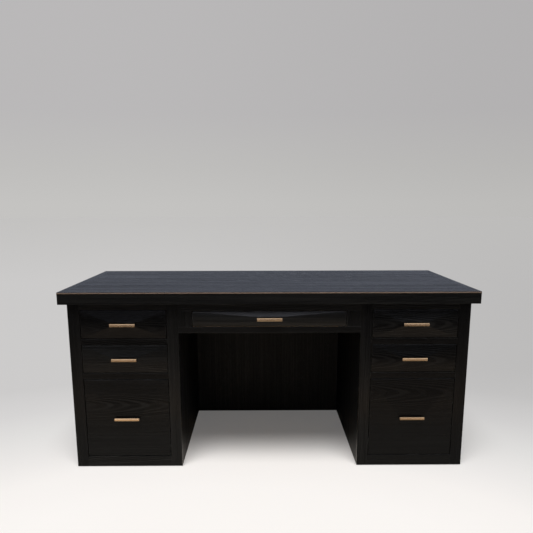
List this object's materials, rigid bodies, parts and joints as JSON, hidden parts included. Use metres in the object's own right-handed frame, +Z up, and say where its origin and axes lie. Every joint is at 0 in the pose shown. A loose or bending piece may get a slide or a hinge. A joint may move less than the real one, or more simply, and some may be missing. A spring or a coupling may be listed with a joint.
{
  "type": "pedestal desk",
  "caption": "Wide writing desk in black open-grain oak: a thick top on two drawer pedestals, inset drawer fronts with hipped relief, bar pulls and a kneehole.",
  "frame": {"origin": "on the floor under the middle of the desk's box", "axes": "+X along the desk to the sitter's right, +Y from the front to the back, +Z up"},
  "size_m": [1.727, 0.914, 0.762],
  "materials": {
    "ebonised_oak": "satin, open grain, stained black",
    "satin_brass": "satin, light champagne tone",
    "zinc_steel": "zinc plated",
    "birch_box": "clear satin lacquer",
    "glide_steel": "satin"
  },
  "bodies": {
    "desk": {"top_panel": "ebonised_oak", "top_front_edge": "ebonised_oak", "top_back_edge": "ebonised_oak", "top_left_edge": "ebonised_oak", "top_right_edge": "ebonised_oak", "top_edge_line": "satin_brass", "top_battens": "birch_box", "top_fixing_brackets": "zinc_steel", "centre_top_rail": "ebonised_oak", "centre_bottom_rail": "ebonised_oak", "centre_end_blocks": "ebonised_oak", "centre_side_boards": "birch_box", "modesty_panel": "ebonised_oak", "slide_cleats": "birch_box", "fixed_slides": "zinc_steel", "levelling_glides": "glide_steel", "left_outer_side": "ebonised_oak", "left_inner_side": "ebonised_oak", "left_back_panel": "ebonised_oak", "left_floor_panel": "birch_box", "left_outer_stile": "ebonised_oak", "left_inner_stile": "ebonised_oak", "left_rails": "ebonised_oak", "right_outer_side": "ebonised_oak", "right_inner_side": "ebonised_oak", "right_back_panel": "ebonised_oak", "right_floor_panel": "birch_box", "right_outer_stile": "ebonised_oak", "right_inner_stile": "ebonised_oak", "right_rails": "ebonised_oak"},
    "left_top_drawer": {"left_top_drawer_front": "ebonised_oak", "left_top_drawer_box": "birch_box", "left_top_pull": "satin_brass", "left_top_runners": "zinc_steel"},
    "left_middle_drawer": {"left_middle_drawer_front": "ebonised_oak", "left_middle_drawer_box": "birch_box", "left_middle_pull": "satin_brass", "left_middle_runners": "zinc_steel"},
    "left_file_drawer": {"left_file_drawer_front": "ebonised_oak", "left_file_drawer_box": "birch_box", "left_file_pull": "satin_brass", "left_file_runners": "zinc_steel"},
    "left_file_middle_slides": {"left_file_middle_slides": "zinc_steel"},
    "centre_drawer": {"centre_drawer_front": "ebonised_oak", "centre_drawer_box": "birch_box", "centre_pull": "satin_brass", "centre_runners": "zinc_steel"},
    "right_top_drawer": {"right_top_drawer_front": "ebonised_oak", "right_top_drawer_box": "birch_box", "right_top_pull": "satin_brass", "right_top_runners": "zinc_steel"},
    "right_middle_drawer": {"right_middle_drawer_front": "ebonised_oak", "right_middle_drawer_box": "birch_box", "right_middle_pull": "satin_brass", "right_middle_runners": "zinc_steel"},
    "right_file_drawer": {"right_file_drawer_front": "ebonised_oak", "right_file_drawer_box": "birch_box", "right_file_pull": "satin_brass", "right_file_runners": "zinc_steel"},
    "right_file_middle_slides": {"right_file_middle_slides": "zinc_steel"}
  },
  "joints": [
    {"name": "left_top_drawer_slide", "type": "slide", "parent": "desk", "child": "left_top_drawer", "axis": [0, -1, 0], "range_m": [0, 0.47]},
    {"name": "left_middle_drawer_slide", "type": "slide", "parent": "desk", "child": "left_middle_drawer", "axis": [0, -1, 0], "range_m": [0, 0.47]},
    {"name": "left_file_drawer_slide", "type": "slide", "parent": "desk", "child": "left_file_drawer", "axis": [0, -1, 0], "range_m": [0, 0.58]},
    {"name": "left_file_middle_slide", "type": "slide", "parent": "desk", "child": "left_file_middle_slides", "axis": [0, -1, 0], "range_m": [0, 0.29]},
    {"name": "centre_drawer_slide", "type": "slide", "parent": "desk", "child": "centre_drawer", "axis": [0, -1, 0], "range_m": [0, 0.32]},
    {"name": "right_top_drawer_slide", "type": "slide", "parent": "desk", "child": "right_top_drawer", "axis": [0, -1, 0], "range_m": [0, 0.47]},
    {"name": "right_middle_drawer_slide", "type": "slide", "parent": "desk", "child": "right_middle_drawer", "axis": [0, -1, 0], "range_m": [0, 0.47]},
    {"name": "right_file_drawer_slide", "type": "slide", "parent": "desk", "child": "right_file_drawer", "axis": [0, -1, 0], "range_m": [0, 0.58]},
    {"name": "right_file_middle_slide", "type": "slide", "parent": "desk", "child": "right_file_middle_slides", "axis": [0, -1, 0], "range_m": [0, 0.29]}
  ],
  "couplings": [
    {"joint": "left_file_middle_slide", "follows": "left_file_drawer_slide", "ratio": 0.5},
    {"joint": "right_file_middle_slide", "follows": "right_file_drawer_slide", "ratio": 0.5}
  ]
}
